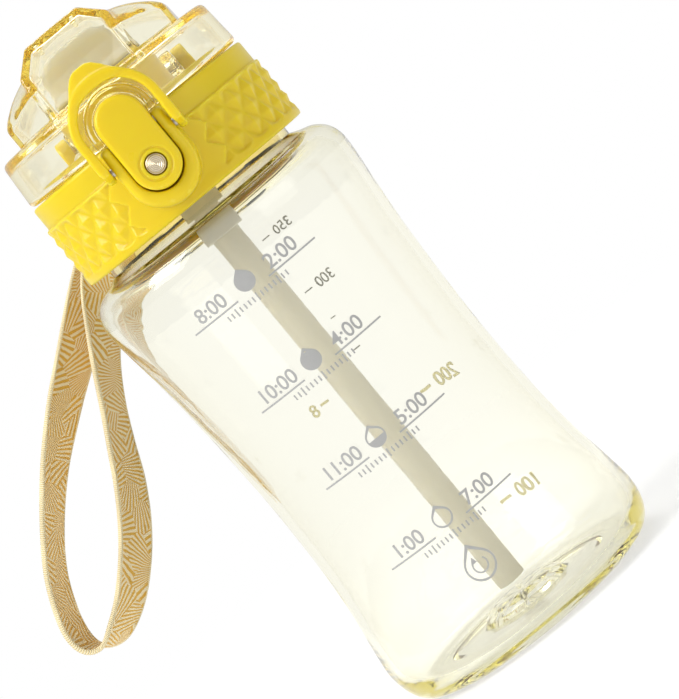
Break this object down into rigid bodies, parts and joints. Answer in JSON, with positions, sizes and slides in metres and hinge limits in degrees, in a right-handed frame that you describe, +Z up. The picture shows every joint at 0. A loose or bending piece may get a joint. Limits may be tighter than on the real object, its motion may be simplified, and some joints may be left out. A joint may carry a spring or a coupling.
{
  "type": "kids water bottle",
  "caption": "Waisted clear drinking bottle with a screw lid, a clear flip cover over a straw spout, a push latch with a lock bail, and a webbing wrist strap.",
  "frame": {"origin": "centre of the standing ring under the base, on the bottle's axis", "axes": "+Z up along the bottle's axis, latch facing -Y, cover hinge at +Y, strap on the -X side of the back"},
  "size_m": [0.1266, 0.0853, 0.1688],
  "materials": {
    "clear_body": "clear plastic with a pale yellow tint",
    "clear_cover": "clear plastic with a pale yellow tint and darker edges",
    "yellow_plastic": "lemon yellow moulded plastic, satin",
    "silicone": "translucent white silicone",
    "frosted_straw": "frosted translucent plastic",
    "steel": "plain stainless steel",
    "webbing": "ochre woven webbing with a cream line pattern"
  },
  "bodies": {
    "bottle": {"bottle_body": "clear_body"},
    "seal": {"lid_gasket": "silicone"},
    "lid": {"lid_collar": "yellow_plastic", "straw_adapter": "silicone", "straw": "frosted_straw", "spout": "silicone", "vent_valve": "silicone", "hinge_pin": "steel", "hinge_spring_left": "steel", "hinge_spring_right": "steel", "latch_pin": "steel", "latch_spring": "steel", "bail_pin_left": "steel", "bail_pin_right": "steel", "strap_stud": "yellow_plastic"},
    "cover": {"dome_cover": "clear_cover"},
    "button": {"latch_button": "yellow_plastic", "button_stud": "steel"},
    "bail": {"lock_bail": "yellow_plastic"},
    "strap": {"wrist_strap": "webbing"}
  },
  "joints": [
    {"name": "lid_lift", "type": "slide", "parent": "bottle", "child": "seal", "axis": [0, 0, 1], "range_m": [0, 0.006]},
    {"name": "lid_turn", "type": "hinge", "parent": "seal", "child": "lid", "pos_m": [0, 0, 0.13], "axis": [0, 0, 1], "range_deg": [0, 540]},
    {"name": "cover_open", "type": "hinge", "parent": "lid", "child": "cover", "pos_m": [0, 0.0309, 0.1465], "axis": [-1, 0, 0], "range_deg": [0, 150]},
    {"name": "button_press", "type": "hinge", "parent": "lid", "child": "button", "pos_m": [0, -0.034, 0.1392], "axis": [1, 0, 0], "range_deg": [0, 6], "stiffness_Nm_per_rad": 0.05, "deforming": ["latch_spring"]},
    {"name": "bail_swing", "type": "hinge", "parent": "lid", "child": "bail", "pos_m": [0, -0.033, 0.136], "axis": [1, 0, 0], "range_deg": [0, 140]},
    {"name": "strap_swing", "type": "hinge", "parent": "lid", "child": "strap", "pos_m": [-0.021, 0.036, 0.128], "axis": [0, 1, 0], "range_deg": [-85, 40]}
  ],
  "couplings": [
    {"joint": "lid_turn", "follows": "lid_lift", "rad_per_m": 1570.7}
  ]
}
